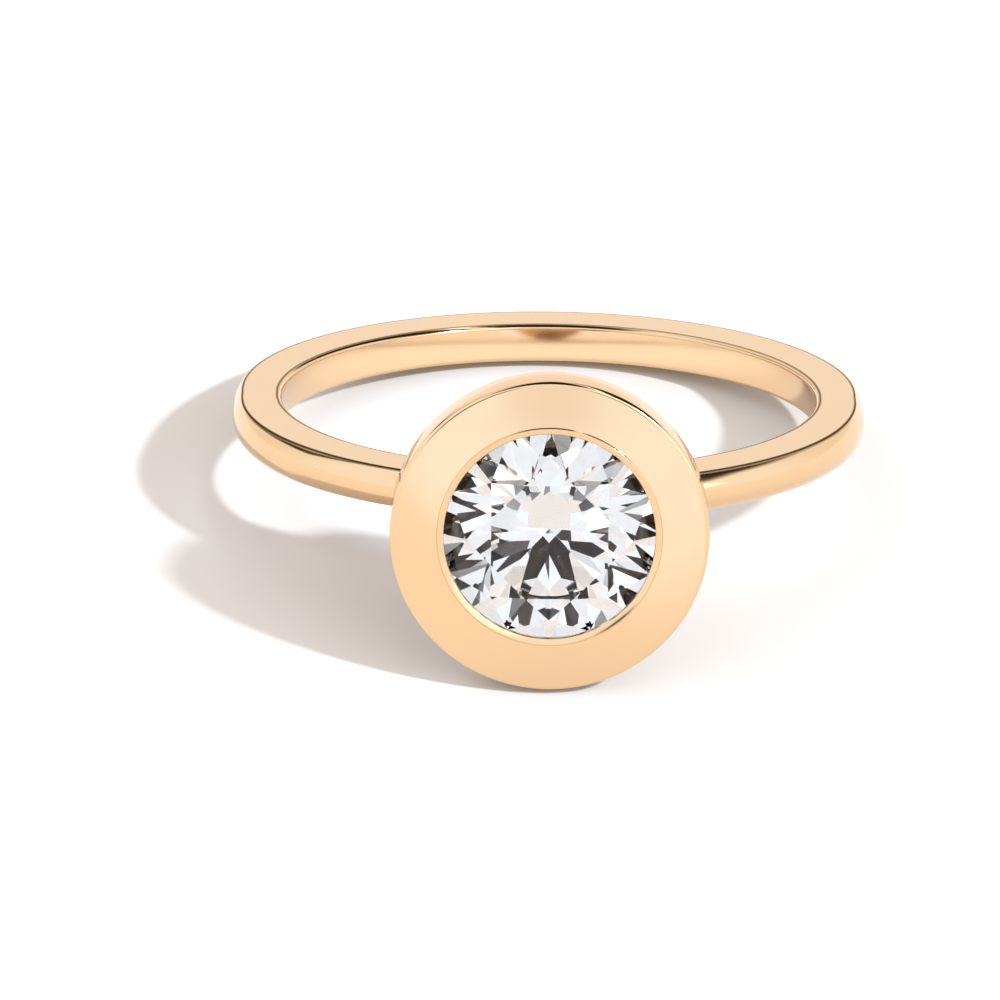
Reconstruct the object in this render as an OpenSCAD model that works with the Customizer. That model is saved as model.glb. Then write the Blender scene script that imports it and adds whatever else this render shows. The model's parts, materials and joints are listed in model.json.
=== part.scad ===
// Bezel set ring: a domed gold band with flat sides, a wide round bezel and one round brilliant.
// The ring lies on its side as it rests by itself: on the bezel's rim and on the back of the band.
// The bezel looks along -Y, the surface it lies on is z = 0, and all lengths are millimetres.

/* [Finger hole] */
// Diameter of the finger hole
bore_d = 16.5; // [14:0.1:22]
// Rounding of the finger hole's two edges
bore_edge_r = 0.15; // [0.05:0.01:0.25]

/* [Band] */
// Width of the band between its flat side faces
band_w = 1.2; // [1:0.05:2]
// Thickness of the band at its sides, from the finger hole to the top of the dome
band_t = 1.5; // [1.3:0.05:2.2]
// How much thicker the band is at the head and behind than at its sides
band_swell = 0.42; // [0.1:0.02:0.8]
// Height of the domed outer wall above the edges of the side faces
dome_h = 0.29; // [0.15:0.01:0.5]
// Rounding between the side faces and the domed wall
band_edge_r = 0.07; // [0.03:0.01:0.12]

/* [Bezel] */
// Outer diameter of the bezel's rim
rim_d = 9.6; // [9:0.1:12]
// Height of the rim's outer wall
rim_h = 1.32; // [0.6:0.02:1.6]
// How much the face rises from the rim's wall to the stone's opening
face_rise = 0.04; // [0.01:0.01:0.2]
// Rounding of the rim's front edge
rim_front_r = 0.13; // [0.05:0.01:0.2]
// Rounding of the rim's back edge
rim_back_r = 0.08; // [0.05:0.01:0.2]
// Width of the lip and its bevel between the face and the stone, seen from the front
bevel_w = 0.215; // [0.1:0.005:0.3]
// Depth of that bevel below the face
bevel_depth = 0.02; // [0.01:0.01:0.1]
// Height of the raised lip between the face and that bevel
lip_rise = 0.05; // [0.02:0.01:0.1]
// How far the lip's outer side leans in towards the stone
lip_side = 0.03; // [0.01:0.01:0.06]
// Width of stone that the lip covers
lip_cover = 0.065; // [0.04:0.005:0.12]
// Thickness of the lip at its edge
lip_t = 0.18; // [0.1:0.01:0.3]

/* [Cup] */
// Wall between the stone's girdle and the outside of the cup
cup_wall = 0.55; // [0.4:0.05:0.9]
// Outer diameter of the cup where it meets the band
cup_foot_d = 4.4; // [3.6:0.1:5.6]
// Wall of the cup at its foot
cup_foot_wall = 0.7; // [0.5:0.05:1]
// Depth to which the cup's foot is sunk into the band's outer wall
cup_sink = 0.9; // [0.7:0.05:1.1]
// Height of the conical seat under the stone's girdle
seat_h = 0.5; // [0.3:0.05:0.8]

/* [Stone] */
// Diameter of the stone at its girdle
stone_d = 6.5; // [6.2:0.1:7]
// Width of the table across opposite corners
table_d = 3.8; // [3.5:0.05:4.2]
// Height of the girdle
girdle_h = 0.2; // [0.1:0.02:0.3]
// Angle of the crown's kites to the girdle's plane
crown_angle = 34; // [31:0.5:37]
// Angle of the pavilion's mains to the girdle's plane
pavilion_angle = 40.8; // [39:0.2:43]
// Reach of the stars, as a share of the way from the table's edge to the girdle
star_share = 0.5; // [0.4:0.05:0.6]
// Reach of the lower halves, as a share of the way from the girdle to the point
lower_share = 0.77; // [0.7:0.01:0.85]
// Gap between the stone and its seat
stone_gap = 0.04; // [0.03:0.01:0.06]
// Gap between the stone's point and the band
point_gap = 0.52; // [0.2:0.02:2]

/* [Hidden] */
$fn = 180;
gold = [0.93, 0.76, 0.56];
clear_stone = [0.93, 0.95, 0.97];

// Band: radii from the finger hole's axis
bore_r = bore_d / 2;
half_w = band_w / 2;
dome_top_r = bore_r + band_t;
band_edge_x = dome_top_r - dome_h;
band_edge_z = half_w - band_edge_r;
dome_r = (dome_h ^ 2 + band_edge_z ^ 2 - band_edge_r ^ 2) / (2 * (dome_h - band_edge_r));
dome_x = dome_top_r - dome_r;
dome_angle = atan2(band_edge_z, band_edge_x - dome_x);
core_r = bore_r / 2;
cut = 1;

// Stone: heights above the middle of its girdle
mains = 8;
mains_step = 360 / mains;
half_step = mains_step / 2;
girdle_sides = 4 * mains;
stone_r = stone_d / 2;
table_r = table_d / 2;
girdle_top = girdle_h / 2;
table_z = girdle_top + (stone_r - table_r) * tan(crown_angle);
culet_z = -girdle_top - stone_r * tan(pavilion_angle);
table_flat = table_r * cos(half_step);
star_r = table_flat + star_share * (stone_r - table_flat);
star_tip = polar(star_r, half_step, table_z - (star_r * cos(half_step) - table_r) * tan(crown_angle));
lower_r = stone_r * (1 - lower_share);
lower_tip = polar(lower_r, half_step, culet_z + lower_r * cos(half_step) * tan(pavilion_angle));

// Bezel: radii from the stone's axis, and distances along it from the finger hole's axis
band_top = dome_top_r + band_swell;
girdle_mid = band_top + point_gap - culet_z;
seat_r = stone_r + stone_gap;
seat_back = girdle_mid - girdle_top - stone_gap / cos(pavilion_angle) + stone_gap * tan(pavilion_angle);
seat_front = girdle_mid + girdle_top + stone_gap / cos(crown_angle) - stone_gap * tan(crown_angle);
seat_foot = seat_back - seat_h;
seat_foot_r = seat_r - seat_h / tan(pavilion_angle);
lip_r = stone_r - lip_cover;
lip_back = seat_front + (seat_r - lip_r) * tan(crown_angle);
lip_front = lip_back + lip_t;
hole_r = lip_r + bevel_w;
hole_front = lip_front + bevel_depth;
crest_r = hole_r - lip_side;
crest_front = hole_front + lip_rise;
rim_r = rim_d / 2;
rim_front = hole_front - face_rise;
rim_back = rim_front - rim_h;
cup_top_r = seat_r + cup_wall;
cup_foot_r = cup_foot_d / 2;
cup_foot = band_top - cup_sink;

// Rest: the surface touches the band's lower edge behind and the rim's back edge in front
foot_y = band_edge_x + band_swell;
foot_z = -band_edge_z;
rim_foot_y = -(rim_back + rim_back_r);
rim_foot_z = -(rim_r - rim_back_r);
span = [foot_y - rim_foot_y, foot_z - rim_foot_z];
tilt = atan2(span.y, span.x) - asin((band_edge_r - rim_back_r) / norm(span));
lift = foot_y * sin(tilt) - foot_z * cos(tilt) + band_edge_r;

// Middle of the ring's length, which lies over the origin
table_reach = forward(girdle_mid + table_z, table_flat);
lip_reach = forward(crest_front, crest_r);
rim_reach = forward(rim_front - rim_front_r, rim_r - rim_front_r) + rim_front_r;
front_reach = max(table_reach, lip_reach, rim_reach);
back_reach = (dome_x + band_swell) * cos(tilt) + dome_r;
mid_y = (front_reach - back_reach) / 2;

// How far forward a point of the head reaches, given its distance along the stone's axis and below it
function forward(along, below) = along * cos(tilt) + below * sin(tilt);

function polar(r, a, z) = [r * cos(a), r * sin(a), z];

// Puts what is drawn about the finger hole's axis to rest on the surface
module at_rest() {
    translate([0, mid_y, lift]) rotate([-tilt, 0, 0]) children();
}

// Puts what is drawn about +Z from the stone's axis on the head, which looks along -Y
module on_head() {
    rotate([90, 0, 0]) children();
}

// Section of the band from inside the finger hole out to the domed wall
module band_section() {
    translate([core_r, -half_w]) square([band_edge_x - core_r, band_w]);
    for (side = [-1, 1]) translate([band_edge_x, side * band_edge_z]) circle(band_edge_r);
    intersection() {
        translate([dome_x, 0]) circle(dome_r);
        polygon([
            [dome_x, 0],
            [dome_x + 2 * dome_r * cos(dome_angle), -2 * dome_r * sin(dome_angle)],
            [dome_x + 2 * dome_r * cos(dome_angle), 2 * dome_r * sin(dome_angle)]
        ]);
    }
}

// Half of the band's round, turned to the back or to the head
module band_half(side) {
    translate([0, side * band_swell, 0]) rotate([0, 0, side > 0 ? 0 : 180])
        rotate_extrude(angle = 180) band_section();
}

// Straight stretch that joins the two halves at one side
module band_side(side) {
    rotate([0, 0, side > 0 ? 0 : 180]) translate([0, band_swell, 0]) rotate([90, 0, 0])
        linear_extrude(2 * band_swell) band_section();
}

// The finger hole with its rounded edges
module finger_hole() {
    cylinder(r = bore_r, h = band_w + 2 * cut, center = true);
    for (side = [-1, 1]) translate([0, 0, side * half_w]) rotate([side > 0 ? 0 : 180, 0, 0])
        rotate_extrude() difference() {
            translate([core_r, -bore_edge_r]) square([bore_r - core_r + bore_edge_r, bore_edge_r + cut]);
            translate([bore_r + bore_edge_r, -bore_edge_r]) circle(bore_edge_r);
        }
}

module band() {
    difference() {
        union() {
            band_half(1);
            band_half(-1);
            band_side(1);
            band_side(-1);
        }
        finger_hole();
    }
}

// Section of the bezel and its cup: radius from the stone's axis, distance along it
module head_section() {
    polygon([
        [hole_r, hole_front], [crest_r, crest_front], [lip_r, lip_front], [lip_r, lip_back],
        [seat_r, seat_front], [seat_r, seat_back], [seat_foot_r, seat_foot],
        [cup_foot_r - cup_foot_wall, cup_foot], [cup_foot_r, cup_foot],
        [cup_top_r, rim_back], [rim_r - rim_back_r, rim_back],
        [rim_r - rim_back_r, rim_back + rim_back_r], [rim_r, rim_back + rim_back_r],
        [rim_r, rim_front - rim_front_r], [rim_r - rim_front_r, rim_front - rim_front_r],
        [rim_r - rim_front_r, rim_front]
    ]);
    translate([rim_r - rim_back_r, rim_back + rim_back_r]) circle(rim_back_r);
    translate([rim_r - rim_front_r, rim_front - rim_front_r]) circle(rim_front_r);
}

module gold_ring() {
    color(gold) at_rest() {
        band();
        on_head() rotate_extrude() head_section();
    }
}

// Height over a point of the plane through three points
function on_plane(a, b, c, p) =
    let (n = cross(b - a, c - a))
    a.z - (n.x * (p.x - a.x) + n.y * (p.y - a.y)) / n.z;

// Edge of the girdle: z is its height where two halves meet, and the halves, which are flat,
// cut it in scallops in between. tip is the far corner of the first half.
function girdle_edge(z, tip) =
    let (middle = polar(stone_r, half_step / 2, z))
    let (scallop = on_plane(polar(stone_r, 0, z), polar(stone_r, half_step, z), tip, middle))
    [for (j = [0:girdle_sides - 1]) polar(stone_r, j * half_step / 2, j % 2 == 0 ? z : scallop)];

// The corner at a tip, and its copies round the stone
function round_the_stone(tip) =
    [for (k = [0:mains - 1]) polar(norm([tip.x, tip.y]), (k + 0.5) * mains_step, tip.z)];

// A round brilliant with its table up: corners ring by ring from the table down to the point, and the
// number of each ring's first corner
module brilliant() {
    corners = concat(
        [for (k = [0:mains - 1]) polar(table_r, k * mains_step, table_z)],
        round_the_stone(star_tip),
        girdle_edge(girdle_top, star_tip),
        girdle_edge(-girdle_top, lower_tip),
        round_the_stone(lower_tip),
        [[0, 0, culet_z]]
    );
    stars = mains;
    crown = stars + mains;
    base = crown + girdle_sides;
    lowers = base + girdle_sides;
    culet = lowers + mains;
    table = [[for (k = [mains - 1:-1:0]) k]];
    facets = [for (k = [0:mains - 1])
        let (next = (k + 1) % mains, last = (k + mains - 1) % mains)
        let (g = [for (j = [0:4]) (4 * k + j) % girdle_sides])
        let (star = [next, stars + k, k])
        let (kite = [stars + k, crown + g[0], stars + last, k])
        let (first_upper = [stars + k, crown + g[2], crown + g[1], crown + g[0]])
        let (second_upper = [stars + k, crown + g[4], crown + g[3], crown + g[2]])
        let (first_lower = [base + g[0], base + g[1], base + g[2], lowers + k])
        let (second_lower = [base + g[2], base + g[3], base + g[4], lowers + k])
        let (main = [lowers + last, base + g[0], lowers + k, culet])
        let (girdle = [for (j = [0:3]) [crown + g[j], crown + g[j + 1], base + g[j + 1], base + g[j]]])
        each concat([star, kite, first_upper, second_upper, first_lower, second_lower, main], girdle)
    ];
    polyhedron(corners, concat(table, facets));
}

module stone() {
    color(clear_stone) at_rest() on_head() translate([0, 0, girdle_mid])
        rotate([0, 0, half_step]) brilliant();
}

gold_ring();
stone();
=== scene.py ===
# %% [markdown]
# # A bezel set ring
# The object is a slim gold ring that lies on its side. A wide, flat collar of gold, the bezel, holds one
# round brilliant. The construction is already made and packed, and this script dresses it: it builds the
# polished gold and the cut stone as fine meshes in the same places, gives them their finishes, and sets up
# a white table, soft light and a camera.

# %% Load the frame
import json
import math

import bmesh
import bpy
from mathutils import Matrix, Vector


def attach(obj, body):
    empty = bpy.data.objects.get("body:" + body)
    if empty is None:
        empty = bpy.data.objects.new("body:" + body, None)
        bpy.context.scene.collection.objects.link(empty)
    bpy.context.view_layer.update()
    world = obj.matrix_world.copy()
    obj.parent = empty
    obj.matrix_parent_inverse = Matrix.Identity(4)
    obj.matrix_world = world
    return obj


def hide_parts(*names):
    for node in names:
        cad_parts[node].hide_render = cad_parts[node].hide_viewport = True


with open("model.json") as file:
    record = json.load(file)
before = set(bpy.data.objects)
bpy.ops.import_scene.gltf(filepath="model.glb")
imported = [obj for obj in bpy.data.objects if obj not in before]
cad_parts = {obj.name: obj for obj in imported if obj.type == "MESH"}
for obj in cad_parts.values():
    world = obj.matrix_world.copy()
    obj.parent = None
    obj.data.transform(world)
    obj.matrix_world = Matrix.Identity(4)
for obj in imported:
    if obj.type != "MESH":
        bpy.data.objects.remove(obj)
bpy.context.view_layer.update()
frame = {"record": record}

# %% [markdown]
# ## Where the ring lies
# A ring of this kind can't stand. It rests on the rim of its bezel in front and on the edge of its band
# behind, so it leans by about ten degrees. The frame knows this lean: the mount in the finger hole has the
# hole's middle and its axis. It is easiest to draw the ring flat, about the hole's own axis, and to lay the
# finished meshes down with one matrix. Lengths are written in millimetres, as a goldsmith gives them.

# %% The ring's own axes
MM = 0.001
hole = next(m for m in frame["record"]["mounts"] if m["name"] == "finger_hole")
hole_axis = Vector(hole["axis"])
lean = math.atan2(hole_axis.y, hole_axis.z)
lay_down = Matrix.Translation(hole["pos_m"]) @ Matrix.Rotation(-lean, 4, "X") @ Matrix.Scale(MM, 4)
look_forward = Matrix.Rotation(math.radians(90), 4, "X")
print("the ring leans by", round(math.degrees(lean), 2), "degrees")

# %% [markdown]
# ## Outlines with rounded corners
# Polished metal has no sharp edges: each one is a small round, and on a mirror finish that round shows as
# a thin bright or dark line. So every outline here is a list of corners, each with the radius that the
# polishing wheel left on it, and one function swaps the corners for arcs. A Bevel modifier could do the
# same on the finished mesh, but the arcs of an outline stay even all the way round.

# %% Rounded outlines
# Steps in each arc of an outline
ARC_STEPS = 6


def rounded(corners):
    """The closed outline through corners of (x, y, radius), with an arc at each"""
    points = []
    for k, (x, y, radius) in enumerate(corners):
        here = Vector((x, y))
        to_last = (Vector(corners[k - 1][:2]) - here).normalized()
        to_next = (Vector(corners[(k + 1) % len(corners)][:2]) - here).normalized()
        half = math.acos(max(-1, min(1, to_last.dot(to_next)))) / 2
        if radius == 0:
            points.append(here)
            continue
        middle = here + (to_last + to_next).normalized() * radius / math.sin(half)
        start = here + to_last * radius / math.tan(half) - middle
        end = here + to_next * radius / math.tan(half) - middle
        turn = start.angle_signed(end)
        for step in range(ARC_STEPS + 1):
            points.append(middle + Matrix.Rotation(-turn * step / ARC_STEPS, 2) @ start)
    return points


def skin(name, rings):
    """A mesh from rings of points, each ring joined to the next, and the last one to the first"""
    points = [point for ring in rings for point in ring]
    across = len(rings[0])
    faces = []
    for k in range(len(rings)):
        after = (k + 1) % len(rings)
        for j in range(across):
            side = (j + 1) % across
            faces.append((k * across + j, after * across + j, after * across + side, k * across + side))
    mesh = bpy.data.meshes.new(name)
    mesh.from_pydata(points, [], faces)
    mesh.polygons.foreach_set("use_smooth", [True] * len(faces))
    piece = bpy.data.objects.new(name, mesh)
    bpy.context.collection.objects.link(piece)
    return piece


# %% [markdown]
# ## The band
# The band is a strip with two flat side faces and a domed outside. It is a little thicker at the head and
# behind than at its sides, because its outside isn't quite round: two half circles are set apart, with a
# short straight stretch between them, and only the finger hole is a true circle. The band is made as a row
# of sections round the hole. Each section has an extra point a hair's breadth inside each edge of its side
# faces: there the thin painted dark lines end that a later step puts on the edges, as painted reflections.

# %% Section of the band
bore_r = hole["dims"]["r_mm"]
BORE_EDGE = 0.15
BAND_W = 1.2
BAND_T = 1.5
BAND_SWELL = 0.42
DOME_H = 0.29
BAND_EDGE = 0.07
# How far inside each edge the painted dark lines end
PAINTED_LINE_MARGIN = 0.06
DOME_STEPS = 20

edge_x = bore_r + BAND_T - DOME_H
edge_z = BAND_W / 2 - BAND_EDGE
dome_r = (DOME_H**2 + edge_z**2 - BAND_EDGE**2) / (2 * (DOME_H - BAND_EDGE))
dome_x = bore_r + BAND_T - dome_r
dome_angle = math.atan2(edge_z, edge_x - dome_x)
print("the dome's radius, mm:", round(dome_r, 2))


def band_inside():
    """The wall of the finger hole, from the upper side face down to the lower one"""
    points = [(bore_r + BORE_EDGE + PAINTED_LINE_MARGIN, BAND_W / 2)]
    for side in (1, -1):
        for step in range(ARC_STEPS + 1):
            angle = math.pi / 2 * (step / ARC_STEPS if side > 0 else 1 - step / ARC_STEPS)
            points.append((bore_r + BORE_EDGE * (1 - math.sin(angle)),
                           side * (BAND_W / 2 - BORE_EDGE * (1 - math.cos(angle)))))
    points.append((bore_r + BORE_EDGE + PAINTED_LINE_MARGIN, -BAND_W / 2))
    return points


def band_outside():
    """The outside of the band, from the lower side face up over the dome to the upper one"""
    points = [(edge_x - PAINTED_LINE_MARGIN, -BAND_W / 2)]
    for step in range(ARC_STEPS):
        angle = -math.pi / 2 + (math.pi / 2 - dome_angle) * step / ARC_STEPS
        points.append((edge_x + BAND_EDGE * math.cos(angle), -edge_z + BAND_EDGE * math.sin(angle)))
    for step in range(DOME_STEPS + 1):
        angle = dome_angle * (2 * step / DOME_STEPS - 1)
        points.append((dome_x + dome_r * math.cos(angle), dome_r * math.sin(angle)))
    for step in range(1, ARC_STEPS + 1):
        angle = dome_angle + (math.pi / 2 - dome_angle) * step / ARC_STEPS
        points.append((edge_x + BAND_EDGE * math.cos(angle), edge_z + BAND_EDGE * math.sin(angle)))
    points.append((edge_x - PAINTED_LINE_MARGIN, BAND_W / 2))
    return points


# %% The band's mesh
HALF_STEPS = 200


def band_station(angle, shift):
    """One section of the band, where its outside is drawn about a centre that is shifted along Y"""
    outside = [Vector((r * math.cos(angle), r * math.sin(angle) + shift, z)) for r, z in band_outside()]
    bore_angle = math.atan2(outside[0].y, outside[0].x)
    inside = [Vector((r * math.cos(bore_angle), r * math.sin(bore_angle), z)) for r, z in band_inside()]
    return inside + outside


stations = []
for shift, start in ((BAND_SWELL, 0), (-BAND_SWELL, math.pi)):
    for step in range(HALF_STEPS + 1):
        stations.append(band_station(start + math.pi * step / HALF_STEPS, shift))
band = skin("band", stations)
print("band:", len(band.data.polygons), "faces")

# %% [markdown]
# ## The bezel and its cup
# The bezel is turned on a lathe and soldered to the band. Its face is flat to the eye, but rises slightly
# from the rim to the stone's opening. Behind the rim a tapered cup carries the seat, on which the stone's
# girdle lies, and comes down on the band. One outline, spun about the stone's axis, gives all of this.

# %% Outline of the bezel
RIM_D = 9.6
RIM_H = 1.32
FACE_RISE = 0.04
RIM_FRONT = 0.13
RIM_BACK = 0.08
BEVEL_W = 0.215
BEVEL_DEPTH = 0.02
LIP_RISE = 0.05
LIP_SIDE = 0.03
LIP_COVER = 0.065
LIP_T = 0.18
CUP_WALL = 0.55
CUP_FOOT_D = 4.4
CUP_FOOT_WALL = 0.7
CUP_SINK = 0.9
SEAT_H = 0.5
STONE_D = 6.5
TABLE_D = 3.8
GIRDLE_H = 0.2
CROWN = math.radians(34)
PAVILION = math.radians(40.8)
STONE_GAP = 0.04
POINT_GAP = 0.52
HOLE_EDGE = 0.03
LIP_EDGE = 0.02
LIP_FOOT = 0.008
LIP_CREST = 0.025

stone_r = STONE_D / 2
girdle_top = GIRDLE_H / 2
table_z = girdle_top + (stone_r - TABLE_D / 2) * math.tan(CROWN)
culet_z = -girdle_top - stone_r * math.tan(PAVILION)
band_top = bore_r + BAND_T + BAND_SWELL
girdle_mid = band_top + POINT_GAP - culet_z
seat_r = stone_r + STONE_GAP
seat_back = girdle_mid - girdle_top - STONE_GAP / math.cos(PAVILION) + STONE_GAP * math.tan(PAVILION)
seat_front = girdle_mid + girdle_top + STONE_GAP / math.cos(CROWN) - STONE_GAP * math.tan(CROWN)
seat_foot = seat_back - SEAT_H
seat_foot_r = seat_r - SEAT_H / math.tan(PAVILION)
lip_r = stone_r - LIP_COVER
lip_back = seat_front + (seat_r - lip_r) * math.tan(CROWN)
lip_front = lip_back + LIP_T
hole_r = lip_r + BEVEL_W
hole_front = lip_front + BEVEL_DEPTH
rim_r = RIM_D / 2
rim_front = hole_front - FACE_RISE
rim_back = rim_front - RIM_H
cup_foot = band_top - CUP_SINK
cup_foot_r = CUP_FOOT_D / 2

bezel_outline = rounded([
    (hole_r, hole_front, LIP_FOOT), (hole_r - LIP_SIDE, hole_front + LIP_RISE, LIP_CREST),
    (lip_r, lip_front, LIP_EDGE), (lip_r, lip_back, 0),
    (seat_r, seat_front, 0), (seat_r, seat_back, 0), (seat_foot_r, seat_foot, 0),
    (cup_foot_r - CUP_FOOT_WALL, cup_foot, LIP_EDGE), (cup_foot_r, cup_foot, LIP_EDGE),
    (seat_r + CUP_WALL, rim_back, HOLE_EDGE), (rim_r, rim_back, RIM_BACK), (rim_r, rim_front, RIM_FRONT),
])

print("the stone's girdle, mm from the hole's middle:", round(girdle_mid, 2))

# %% The bezel's mesh
BEZEL_STEPS = 288

bezel_rings = []
for step in range(BEZEL_STEPS):
    angle = 2 * math.pi * step / BEZEL_STEPS
    bezel_rings.append([
        look_forward @ Vector((r * math.cos(angle), r * math.sin(angle), along)) for r, along in bezel_outline
    ])
bezel = skin("bezel", bezel_rings)
print("bezel:", len(bezel.data.polygons), "faces,", len(bezel_outline), "points in its outline")

# %% [markdown]
# ## One piece of gold
# Solder joins the cup to the band without a trace, so the two meshes become one with a Boolean, and the
# joint between them is a clean line. Smooth shading alone would bend the reflections in the flat faces
# towards their rounded edges. The Weighted Normal modifier stops that: a corner takes its normal from the
# largest faces that meet there.

# %% Join the band and the bezel


def outward(piece):
    """Turns all faces of a closed mesh outwards"""
    work = bmesh.new()
    work.from_mesh(piece.data)
    bmesh.ops.recalc_face_normals(work, faces=work.faces)
    work.to_mesh(piece.data)
    work.free()


def applied(piece):
    """Makes what the modifiers show the piece's own mesh"""
    shown = piece.evaluated_get(bpy.context.evaluated_depsgraph_get())
    mesh = bpy.data.meshes.new_from_object(shown)
    piece.modifiers.clear()
    piece.data = mesh


outward(band)
outward(bezel)
weld = band.modifiers.new("solder", "BOOLEAN")
weld.operation = "UNION"
weld.solver = "EXACT"
weld.object = bezel
applied(band)
bpy.data.objects.remove(bezel)
ring_metal = band
ring_metal.name = "ring_metal"
print("gold in one piece:", len(ring_metal.data.polygons), "faces")

# %% [markdown]
# ## Two painted marks on the gold
# Two painted dark marks go into the gold's colour. A clear stone shows what lies behind it, so the seat
# under it is coloured dark grey up to the lip: painted shade, for the shade inside the cup, which makes the
# stone's dark facets deep. And each upper edge of the band ends in a painted brown line as thin as a hair:
# a painted dark reflection, for where the round turns away from every light. Both could be pieces of their
# own, but they have no thickness to speak of. So the mesh notes for each corner whether it lies in the
# seat's painted shade and how dark its painted edge line is, and the finish of the gold reads the notes.

# %% Note the corners in the seat's painted shade


# Painted shade: the seat inside the cup is given a dark grey colour for the shade that lies there
def plated(point):
    """Whether a point of the flat ring lies inside the cup: behind the lip, and within the cup's wall"""
    along = -point.y
    share = (along - cup_foot) / (rim_back - cup_foot)
    wall_middle = cup_foot_r - CUP_FOOT_WALL / 2 + share * (seat_r + CUP_WALL - cup_foot_r)
    within = min(wall_middle, seat_r + CUP_WALL / 2)
    return math.hypot(point.x, point.z) < within and cup_foot < along < (lip_back + lip_front) / 2


def note(name, measure):
    """Writes a measure of each corner of the gold into its mesh"""
    values = [float(measure(v.co)) for v in ring_metal.data.vertices]
    ring_metal.data.attributes.new(name, "FLOAT", "POINT").data.foreach_set("value", values)
    print(name, "corners:", sum(value > 0 for value in values))


note("plated", plated)

# %% Note the painted dark lines on the edges
ON_ARC = 0.002
FRONT_LENGTH = 4
# Degrees round an edge for the painted dark lines, from the side face on, apart from how dark the second
# painted line is
ROUND_START = -1
BORE_FADE = 25
SECOND_LINE = 75
SECOND_FADE = 20
SECOND_DARK = 0.25
OUTSIDE_HOLD = 12
HOLD_IN_FRONT = 45
OUTSIDE_FADE = 15


def on_round(r_off, z_off, radius):
    """Whether a point lies on an edge's arc, and how many degrees round it from the side face"""
    turn = math.degrees(math.atan2(r_off, z_off))
    return abs(math.hypot(r_off, z_off) - radius) < ON_ARC and turn > ROUND_START, turn


def painted_edge_darkness(point):
    """How dark the painted dark reflections along the band's upper edges make a point of the flat ring"""
    if point.z <= 0:
        return 0
    bore_off = bore_r + BORE_EDGE - math.hypot(point.x, point.y)
    outside_off = math.hypot(point.x, max(abs(point.y) - BAND_SWELL, 0)) - edge_x
    on_bore, bore_turn = on_round(bore_off, point.z - BAND_W / 2 + BORE_EDGE, BORE_EDGE)
    on_outside, outside_turn = on_round(outside_off, point.z - edge_z, BAND_EDGE)
    if on_bore:
        second = SECOND_DARK - abs(bore_turn - SECOND_LINE) / SECOND_FADE
        return max(1 - abs(bore_turn) / BORE_FADE, second, 0)
    if on_outside:
        in_front = min(max(-point.y / FRONT_LENGTH, 0), 1)
        hold = OUTSIDE_HOLD + (HOLD_IN_FRONT - OUTSIDE_HOLD) * in_front
        return max(1 - max(outside_turn - hold, 0) / OUTSIDE_FADE, 0)
    return 0


# The note called edge holds the painted dark reflections along the upper edges
note("edge", painted_edge_darkness)

# %% Lay the gold down
SHARP = math.radians(28)
LARGEST_FACES_ONLY = 100

ring_metal.data.transform(lay_down)
ring_metal.data.set_sharp_from_angle(angle=SHARP)
even = ring_metal.modifiers.new("even reflections", "WEIGHTED_NORMAL")
even.keep_sharp = True
even.weight = LARGEST_FACES_ONLY
print("lowest gold, mm:", round(min(v.co.z for v in ring_metal.data.vertices) / MM, 3))

# %% [markdown]
# ## The stone
# A round brilliant is cut facet by facet, and so is this one. It starts as a plain disc of stone, and each
# facet is one flat cut that takes off whatever lies outside it: the table, eight kites, eight stars and
# sixteen halves above the girdle, and eight mains and sixteen halves below it. The angles are what make
# such a stone bright, so they are given as a cutter sets them.

# %% Cut the stone
STAR_SHARE = 0.5
LOWER_SHARE = 0.77
MAINS = 8
GIRDLE_STEPS = 128
CUT_SLACK = 1e-5
SAME_CORNER = 1e-4
main_turn = 2 * math.pi / MAINS
half_turn = main_turn / 2
table_r = TABLE_D / 2


def polar(r, angle, z):
    """A point by its distance from the stone's axis, its angle round it, and its height"""
    return Vector((r * math.cos(angle), r * math.sin(angle), z))


star_r = table_r * math.cos(half_turn) + STAR_SHARE * (stone_r - table_r * math.cos(half_turn))
star_tip = polar(star_r, half_turn, table_z - (star_r * math.cos(half_turn) - table_r) * math.tan(CROWN))
lower_r = stone_r * (1 - LOWER_SHARE)
lower_tip = polar(lower_r, half_turn, culet_z + lower_r * math.cos(half_turn) * math.tan(PAVILION))
crown_rim = [polar(stone_r, k * half_turn, girdle_top) for k in range(3)]
base_rim = [polar(stone_r, k * half_turn, -girdle_top) for k in range(3)]
table_corners = [polar(table_r, k * main_turn, table_z) for k in range(2)]
cuts = [
    (table_corners[0], star_tip, table_corners[1]),
    (crown_rim[0], star_tip, table_corners[0]),
    (crown_rim[0], crown_rim[1], star_tip),
    (crown_rim[1], crown_rim[2], star_tip),
    (Vector((0, 0, culet_z)), lower_tip, base_rim[0]),
    (base_rim[0], lower_tip, base_rim[1]),
    (base_rim[1], lower_tip, base_rim[2]),
]


def cut_facet(work, point, outward_normal):
    """Takes off all of the stone that lies outside a plane, and closes it with one flat facet"""
    whole = work.verts[:] + work.edges[:] + work.faces[:]
    made = bmesh.ops.bisect_plane(work, geom=whole, dist=CUT_SLACK, plane_co=point, plane_no=outward_normal,
                                  clear_outer=True)
    rim = [e for e in made["geom_cut"] if isinstance(e, bmesh.types.BMEdge) and e.is_boundary]
    if rim:
        bmesh.ops.contextual_create(work, geom=rim)


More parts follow.
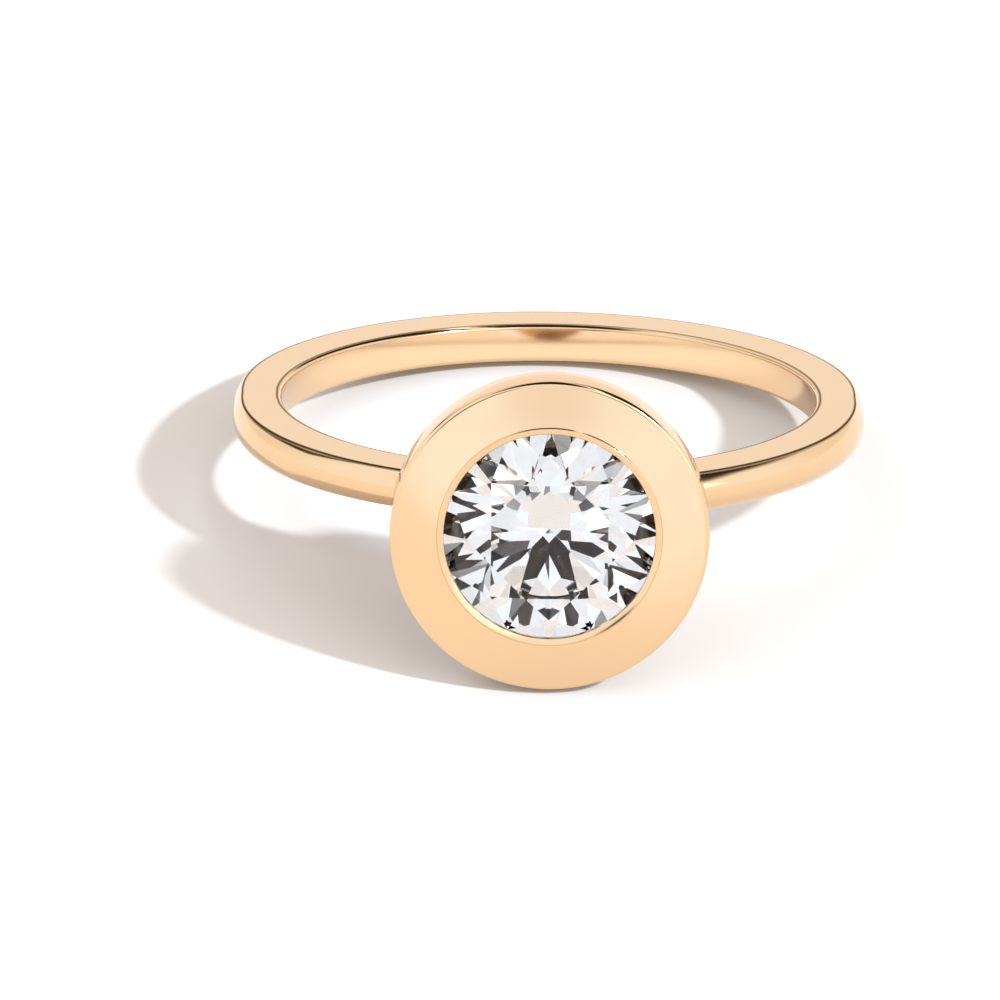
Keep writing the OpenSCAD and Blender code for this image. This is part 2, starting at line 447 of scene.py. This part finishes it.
rough = bmesh.new()
bmesh.ops.create_cone(rough, cap_ends=True, segments=GIRDLE_STEPS, radius1=stone_r, radius2=stone_r,
                      depth=2 * stone_r * math.tan(PAVILION) + 2 * GIRDLE_H)
cut_facet(rough, Vector((0, 0, table_z)), Vector((0, 0, 1)))
for k in range(MAINS):
    turn = Matrix.Rotation(k * main_turn + half_turn, 3, "Z")
    for a, b, c in cuts:
        normal = turn @ (b - a).cross(c - a).normalized()
        cut_facet(rough, turn @ a, normal)
bmesh.ops.remove_doubles(rough, verts=rough.verts, dist=SAME_CORNER)
bmesh.ops.recalc_face_normals(rough, faces=rough.faces)
stone_mesh = bpy.data.meshes.new("brilliant")
rough.to_mesh(stone_mesh)
rough.free()
stone_mesh.transform(lay_down @ look_forward @ Matrix.Translation((0, 0, girdle_mid)))
brilliant = bpy.data.objects.new("brilliant", stone_mesh)
bpy.context.collection.objects.link(brilliant)
print("stone:", len(stone_mesh.polygons), "faces")

# %% [markdown]
# ## Writing a finish
# A finish is a small net of nodes, and sums in it read best as plain sums. So one class wraps a node's
# output and adds a Math node whenever two of them are added or multiplied. A second one makes every other
# node with one method, and a third is such a net that belongs to a material. Nodes could be drawn by hand in
# the editor, but a script shows in order what feeds what.

# %% Helpers for finishes


class Wire:
    """A node's output. A sum written with it adds its Math node."""

    def __init__(self, net, socket):
        self.net = net
        self.socket = socket

    def part(self, number):
        """Another output of the same node"""
        return Wire(self.net, self.socket.node.outputs[number])

    def maths(self, operation, left, right):
        """A Math node on two values"""
        return self.net.node("ShaderNodeMath", {"operation": operation}, {0: left, 1: right})

    def __add__(self, other):
        return self.maths("ADD", self, other)

    def __radd__(self, other):
        return self.maths("ADD", other, self)

    def __sub__(self, other):
        return self.maths("SUBTRACT", self, other)

    def __rsub__(self, other):
        return self.maths("SUBTRACT", other, self)

    def __mul__(self, other):
        return self.maths("MULTIPLY", self, other)

    def __rmul__(self, other):
        return self.maths("MULTIPLY", other, self)

    def __truediv__(self, other):
        return self.maths("DIVIDE", self, other)

    def __abs__(self):
        return self.maths("ABSOLUTE", self, 0)


class Net:
    """A net of nodes, and the one way in which its nodes are made"""

    def __init__(self, tree):
        self.tree = tree

    def plug(self, socket, value):
        """Links an output to a socket, or sets the socket to a plain value"""
        if isinstance(value, Wire):
            self.tree.links.new(value.socket, socket)
        else:
            socket.default_value = value

    def node(self, kind, settings=None, sockets=None, output=0):
        """Makes a node from its type, its settings and what its sockets take, and gives one of its outputs"""
        made = self.tree.nodes.new(kind)
        for name, value in (settings or {}).items():
            setattr(made, name, value)
        for name, value in (sockets or {}).items():
            self.plug(made.inputs[name], value)
        return Wire(self, made.outputs[output])

    def fade(self, value, start, end):
        """Goes from 0 to 1 while the value goes from start to end, without a hard edge"""
        return self.node("ShaderNodeMapRange", {"interpolation_type": "SMOOTHSTEP"},
                         {"Value": value, "From Min": start, "From Max": end})

    def mix(self, share, first, second):
        """A colour from the first to the second, in the Mix node's sockets for colours, 6 and 7"""
        return self.node("ShaderNodeMix", {"data_type": "RGBA"}, {0: share, 6: first, 7: second}, output=2)

    def most(self, first, second):
        """The larger of two values"""
        return self.node("ShaderNodeMath", {"operation": "MAXIMUM"}, {0: first, 1: second})

    def vector(self, operation, first, second=(0, 0, 0), output=0):
        """A Vector Math node. Its output 1 is a number, such as a distance."""
        return self.node("ShaderNodeVectorMath", {"operation": operation}, {0: first, 1: second}, output)

    def patch(self, sight, middle, inner, outer):
        """1 within the inner angle of a direction, 0 past the outer one"""
        near = self.vector("DOT_PRODUCT", sight, middle, output=1)
        return self.fade(near, math.cos(math.radians(outer)), math.cos(math.radians(inner)))


class Finish(Net):
    """A material"""

    def __init__(self, name):
        self.material = bpy.data.materials.new(name)
        self.material.use_nodes = True
        super().__init__(self.material.node_tree)
        self.shader = self.tree.nodes["Principled BSDF"]

    def set(self, **sockets):
        """Sets or links the main shader's sockets, whose names are written with _ for a space"""
        for name, value in sockets.items():
            self.plug(self.shader.inputs[name.replace("_", " ")], value)


# %% [markdown]
# ## Polished gold
# Yellow gold of 14 karat takes a mirror polish. On the real ring this polish is never perfect: the wheel
# leaves a faint haze, which softens what the metal mirrors, and very low waves, which bend it. A metal's
# base colour is the colour of its reflections, so the gold needs a strong one and little else. The haze goes
# into the roughness and the waves into a bump, both from noise in three dimensions, which follows any shape
# without a seam. An image would stretch over the curves. The colour also carries the two painted marks: the
# seat's painted shade and the painted dark reflections on the edges. A metal turns white at a grazing look,
# so where the painted edge lines are, the finish is no metal and has no shine.

# %% Gold
OBJECT_SPACE = 3
NOTED_VALUE = 2
GOLD = (0.815, 0.56, 0.325, 1)
# Painted shade: the dark grey of the seat, standing for the shade inside the cup
SEAT_PAINTED_SHADE = (0.3, 0.3, 0.31, 1)
# Painted dark reflection along the band's upper edges
PAINTED_EDGE_BROWN = (0.07, 0.035, 0.012, 1)
POLISH = 0.09
HAZE = 0.06
HAZE_SCALE = 900
WAVE_SCALE = 400
WAVE_HEIGHT = 0.000012
GRAIN_SCALE = 30000
GRAIN_HEIGHT = 0.0000001

gold = Finish("polished gold")
on_metal = gold.node("ShaderNodeTexCoord", output=OBJECT_SPACE)
haze = gold.node("ShaderNodeTexNoise", sockets={"Vector": on_metal, "Scale": HAZE_SCALE, "Detail": 3})
wave = gold.node("ShaderNodeTexNoise", sockets={"Vector": on_metal, "Scale": WAVE_SCALE, "Detail": 1})
grain = gold.node("ShaderNodeTexNoise", sockets={"Vector": on_metal, "Scale": GRAIN_SCALE, "Detail": 2})
relief = wave * WAVE_HEIGHT + grain * GRAIN_HEIGHT
bump = gold.node("ShaderNodeBump", sockets={"Strength": 1.0, "Distance": 1.0, "Height": relief})
# The notes bring in the seat's painted shade and the painted dark reflections on the edges
seat_shade_note = gold.node("ShaderNodeAttribute", {"attribute_name": "plated"}, output=NOTED_VALUE)
painted_edge_line = gold.node("ShaderNodeAttribute", {"attribute_name": "edge"}, output=NOTED_VALUE)
colour = gold.mix(painted_edge_line, gold.mix(seat_shade_note, GOLD, SEAT_PAINTED_SHADE), PAINTED_EDGE_BROWN)
gold.set(Base_Color=colour, Metallic=1 - painted_edge_line, Specular_IOR_Level=0.0, Roughness=POLISH + haze * HAZE,
         Normal=bump)
ring_metal.data.materials.clear()
ring_metal.data.materials.append(gold.material)
print("gold:", len(gold.tree.nodes), "nodes")

# %% [markdown]
# ## Clear stone
# The stone is as clear as water, and bends light far more than glass does: its index of refraction is 2.42,
# that of diamond. Its looks come almost wholly from its facets, which throw each ray about until it leaves
# towards a bright or a dark part of the room. So the finish is plain transmission without roughness. The
# growth of a crystal leaves faint clouds in it, which a soft noise in the colour stands for. Less shine on
# the outside keeps the facets below the table in sight.

# %% Stone
DIAMOND_INDEX = 2.42
CLOUDED = (0.71, 0.68, 0.64, 1)
CLEAR = (0.77, 0.74, 0.70, 1)
CLOUD_SCALE = 700
DIM_SHINE = (0.2, 0.2, 0.2, 1)

clear = Finish("clear stone")
in_stone = clear.node("ShaderNodeTexCoord", output=OBJECT_SPACE)
growth = clear.node("ShaderNodeTexNoise", sockets={"Vector": in_stone, "Scale": CLOUD_SCALE, "Detail": 4})
clear.set(Base_Color=clear.mix(growth, CLOUDED, CLEAR), Roughness=0.0, IOR=DIAMOND_INDEX,
          Transmission_Weight=1.0, Specular_Tint=DIM_SHINE)
brilliant.data.materials.append(clear.material)
print("stone:", len(clear.tree.nodes), "nodes")

# %% [markdown]
# ## The pieces in the frame
# The frame has one body, since nothing on this ring moves. Each dressed piece rides on it and takes the
# place of one piece of the construction, which is hidden then. The pieces could be joined into one mesh,
# but the stone and the gold have to stay apart, as they are on the jeweller's bench.

# %% Hand the pieces to the frame
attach(ring_metal, "root")
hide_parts("gold_ring")
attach(brilliant, "root")
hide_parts("stone")
print("pieces:", ring_metal.name, brilliant.name)

# %% [markdown]
# ## Where the light comes from
# A polished ring shows its surroundings and hardly anything of itself, so the table and the room are part of
# its looks. A photographer puts such a ring on white paper in a white tent, and holds dark cards over it:
# each edge of the metal mirrors a card as a thin dark line. Directions are given as a photographer would,
# in degrees to the right of the front and in degrees up. Lamps and real cards would do as well, but a
# pattern of soft patches in the sky gives the same reflections without noise.

# %% Directions


def towards(side, up):
    """The direction some degrees to the right of the front, and some degrees up"""
    side, up = math.radians(side), math.radians(up)
    return Vector((math.sin(side) * math.cos(up), -math.cos(side) * math.cos(up), math.sin(up)))


# A patch has its middle, and the angles up to which it is full and beyond which it is gone
LEFT_GLOW = (towards(-5.5, 1.5), 1, 7.5)
RIGHT_GLOW = (towards(9, 0), 2, 13)
to_key = Vector((1.02, -0.84, 1.0)).normalized()
print("key light, degrees up:", round(math.degrees(math.asin(to_key.z)), 1))

# %% [markdown]
# ## White paper
# The paper is matt white, and glows a little by itself. Paint alone would leave its shadows too dark: the
# glow stands for light that a real room bounces about and that a render would take long to find. It is warm,
# as the shadows on the paper are, and stronger inside the ring, where the gold throws its own light. Two
# patches far in front glow more, for the face of the bezel to mirror.

# %% Table
TABLE_SIZE = 3.0
EYE_HEIGHT = 0.005
HOLE_SPOT = (-0.0015, 0.003, 0)
HOLE_SPOT_FADE = (0.0075, 0.0045)
WHITE = (0.88, 0.88, 0.88, 1)
SHADOW_GLOW = (0.19, 0.115, 0.05, 1)
HOLE_GLOW = (0.37, 0.36, 0.37, 1)
RIGHT_PAPER = (0.28, 0.34, 0.50, 1)
LEFT_PAPER = (0.34, 0.46, 0.70, 1)
MATT = 0.9

table_mesh = bpy.data.meshes.new("table")
corners = [(x * TABLE_SIZE, y * TABLE_SIZE, 0) for x, y in ((-1, -1), (1, -1), (1, 1), (-1, 1))]
table_mesh.from_pydata(corners, [], [(0, 1, 2, 3)])
table = bpy.data.objects.new("table", table_mesh)
bpy.context.collection.objects.link(table)

paper = Finish("white paper")
on_paper = paper.node("ShaderNodeTexCoord", output=OBJECT_SPACE)
from_ring = paper.vector("SUBTRACT", on_paper, (0, 0, EYE_HEIGHT))
from_ring = paper.vector("NORMALIZE", from_ring)
in_hole = paper.fade(paper.vector("DISTANCE", on_paper, HOLE_SPOT, output=1), *HOLE_SPOT_FADE)
glow = paper.mix(in_hole, SHADOW_GLOW, HOLE_GLOW)
glow = paper.mix(paper.patch(from_ring, *RIGHT_GLOW), glow, RIGHT_PAPER)
glow = paper.mix(paper.patch(from_ring, *LEFT_GLOW), glow, LEFT_PAPER)
paper.set(Base_Color=WHITE, Roughness=MATT, Specular_IOR_Level=0.0, Emission_Color=glow,
          Emission_Strength=1.0)
table.data.materials.append(paper.material)
print("paper:", len(paper.tree.nodes), "nodes")

# %% [markdown]
# ## The tent and its cards
# The tent is drawn on the sky. Its cards are easiest to place on a flat ceiling one unit above the ring,
# where a direction meets it so far across and so far backward. The big card hangs overhead: it gives the
# dark line along the inner edge at the back, the one on top of the rim, and one at the right of the band. A
# streak of light parts it, which makes the bright glint on that inner edge. A narrow card at the left and
# behind draws the line at the left of the band. Low in front, three round cards stand for the camera and its
# stand: the stone would look empty without them. The tent itself is cool in front and warmer behind, glows
# more beyond the two bright patches of the paper, dips a little between them, and has a wide bright window
# round the key light.

# %% The ceiling
LOWEST = 0.02

scene = bpy.context.scene
world = bpy.data.worlds.new("studio")
scene.world = world
world.use_nodes = True
studio = Net(world.node_tree)
# For a world, a texture coordinate is the direction in which a ray leaves
sight = studio.node("ShaderNodeTexCoord")
sight_parts = studio.node("ShaderNodeSeparateXYZ", sockets={0: sight})
height = studio.most(sight_parts.part(2), LOWEST)
across = sight_parts / height
backward = sight_parts.part(1) / height
behind = studio.most(backward, 0)
print("ceiling:", len(studio.tree.nodes), "nodes")

# %% The big card
FRONT_EDGE = (-0.73, -0.57)
FRONT_SLANT = 0.19
BACK_EDGE = (4.2, 3.2)
LEFT_EDGE = (-0.54, -0.30)
LEFT_SLANT = 0.32
RIGHT_EDGE = (1.65, 1.05)
RIGHT_SLANT = 0.3
STREAK_AT = 0.365
STREAK_SLANT = 0.14
STREAK_SIDE = (0.07, 0.03)
STREAK_END = (2.4, 1.4)

front_edge = studio.fade(backward + across * FRONT_SLANT, *FRONT_EDGE)
back_edge = studio.fade(backward, *BACK_EDGE)
left_edge = studio.fade(across - backward * LEFT_SLANT, *LEFT_EDGE)
right_edge = studio.fade(across - abs(backward) * RIGHT_SLANT, *RIGHT_EDGE)
from_streak = abs(across + backward * STREAK_SLANT - STREAK_AT)
streak = studio.fade(from_streak, *STREAK_SIDE) * studio.fade(backward, *STREAK_END) * front_edge
big_card = front_edge * back_edge * left_edge * right_edge * (1 - streak)

# %% The narrow card and the round ones
NEAR_START = -0.35
NEAR_SLANT = 2.1
FAR_START = -1.7
FAR_SLANT = 0.4
WIDENING = 0.15
NARROW_LEFT = (-0.1, 0.1)
NARROW_RIGHT = (0.6, 0.45)
NARROW_FRONT = (0.2, 0.4)
ROUND_CARDS = ((towards(-12, 17), 6, 9), (towards(10.5, 14), 4.5, 7.5), (towards(-20, 18), 6, 9))

card_line = studio.most(NEAR_START - behind * NEAR_SLANT, FAR_START - behind * FAR_SLANT)
from_line = (across - card_line) / (1 + behind * WIDENING)
narrow_card = studio.fade(from_line, *NARROW_LEFT) * studio.fade(from_line, *NARROW_RIGHT)
narrow_card = narrow_card * studio.fade(backward, *NARROW_FRONT)
cards = studio.most(big_card, narrow_card)
for round_card in ROUND_CARDS:
    cards = studio.most(cards, studio.patch(sight, *round_card))

# %% The tent
TENT = (1.195, 1.275, 1.40, 1)
TENT_BEHIND = (1.09, 1.05, 0.99, 1)
TENT_DIP = (1.09, 1.14, 1.26, 1)
TENT_GLOW = (1.24, 1.44, 1.74, 1)
CARD = (0.03, 0.019, 0.011, 1)
WINDOW = (2.1, 2.1, 2.1, 1)
STREAK_SHARE = 0.8
DIP = (towards(0.5, 4.5), 1, 4.5)
REAR_PART = (0.0, 0.7)
WINDOW_SIZE = (25, 30)

tent = studio.mix(studio.fade(sight_parts.part(1), *REAR_PART), TENT, TENT_BEHIND)
for place, light in ((RIGHT_GLOW, TENT_GLOW), (LEFT_GLOW, TENT_GLOW), (DIP, TENT_DIP)):
    tent = studio.mix(studio.patch(sight, *place), tent, light)
window = studio.patch(sight, to_key, *WINDOW_SIZE) * (1 - front_edge)
sky = studio.mix(studio.most(window, streak * STREAK_SHARE), studio.mix(cards, tent, CARD), WINDOW)
studio.plug(studio.tree.nodes["Background"].inputs["Color"], sky)
print("studio:", len(studio.tree.nodes), "nodes")

# %% [markdown]
# ## The key light
# One strong lamp from the right and the front throws the long shadow to the left. Its disc is four degrees
# wide, so the shadow starts sharp at the ring and softens away from it. An area lamp could do the same, but
# a sun stays as it is wherever it stands.

# %% Key light
KEY_ENERGY = 2.6
KEY_COLOUR = (0.95, 0.99, 1.05)
KEY_WIDTH = 4

key_data = bpy.data.lights.new("key", "SUN")
key_data.energy = KEY_ENERGY
key_data.color = KEY_COLOUR
key_data.angle = math.radians(KEY_WIDTH)
key = bpy.data.objects.new("key", key_data)
bpy.context.collection.objects.link(key)
key.rotation_mode = "QUATERNION"
key.rotation_quaternion = to_key.to_track_quat("Z", "Y")
print("key light:", key.name, key_data.type)

# %% [markdown]
# ## How far light is followed
# A ray may cross the stone a dozen times before it leaves, and mirror a few times between the gold's own
# parts. With too few bounces the stone turns black, so many are allowed. Light that the gold or the stone
# would throw on the paper is left out: it takes many samples to look smooth, and the paper's own glow stands
# for it. The plain view transform keeps white paper white: a filmic one would turn it grey.

# %% Bounces and view
STONE_BOUNCES = 32
MIRROR_BOUNCES = 12

scene.view_settings.view_transform = "Standard"
scene.cycles.max_bounces = STONE_BOUNCES
scene.cycles.transmission_bounces = STONE_BOUNCES
scene.cycles.glossy_bounces = MIRROR_BOUNCES
scene.cycles.caustics_reflective = False
scene.cycles.caustics_refractive = False
print("bounces:", scene.cycles.max_bounces)

# %% [markdown]
# ## The camera
# The ring is seen from in front and a little above, from so far away that near and far parts have almost
# the same scale. The view is given as it was measured on the ring itself: how far the eye looks down on the
# plane of the band, how far the ring is turned and rolled, how many dots go to a millimetre, and where the
# middle of the finger hole lies in the image.

# %% Camera
VIEW_DOWN = 15.75
VIEW_TURN = -0.14
VIEW_ROLL = 0.63
VIEW_DISTANCE = 450
VIEW_SCALE = 32.35
HOLE_AT = (548.4, 413.2)
IMAGE_SIZE = 1000
SENSOR = 36
NEAREST = 0.01
FARTHEST = 10

look_down = math.radians(VIEW_DOWN) + lean
look_turn = math.radians(VIEW_TURN)
right = Vector((math.cos(look_turn), math.sin(look_turn), 0))
back = Vector((math.sin(look_turn) * math.cos(look_down), -math.cos(look_turn) * math.cos(look_down),
               math.sin(look_down)))
view_axes = Matrix((right, back.cross(right), back)).transposed()
view_axes = view_axes @ Matrix.Rotation(math.radians(VIEW_ROLL), 3, "Z")
aside = Vector((HOLE_AT[0] - IMAGE_SIZE / 2, IMAGE_SIZE / 2 - HOLE_AT[1], 0)) / VIEW_SCALE
camera_at = Vector(hole["pos_m"]) + view_axes @ (Vector((0, 0, VIEW_DISTANCE)) - aside) * MM

camera_data = bpy.data.cameras.new("camera")
camera_data.sensor_width = SENSOR
camera_data.lens = SENSOR * VIEW_SCALE * VIEW_DISTANCE / IMAGE_SIZE
camera_data.clip_start = NEAREST
camera_data.clip_end = FARTHEST
camera = bpy.data.objects.new("camera", camera_data)
bpy.context.collection.objects.link(camera)
camera.matrix_world = Matrix.Translation(camera_at) @ view_axes.to_4x4()
scene.camera = camera
print("camera at, mm:", [round(c * 1000, 1) for c in camera_at])
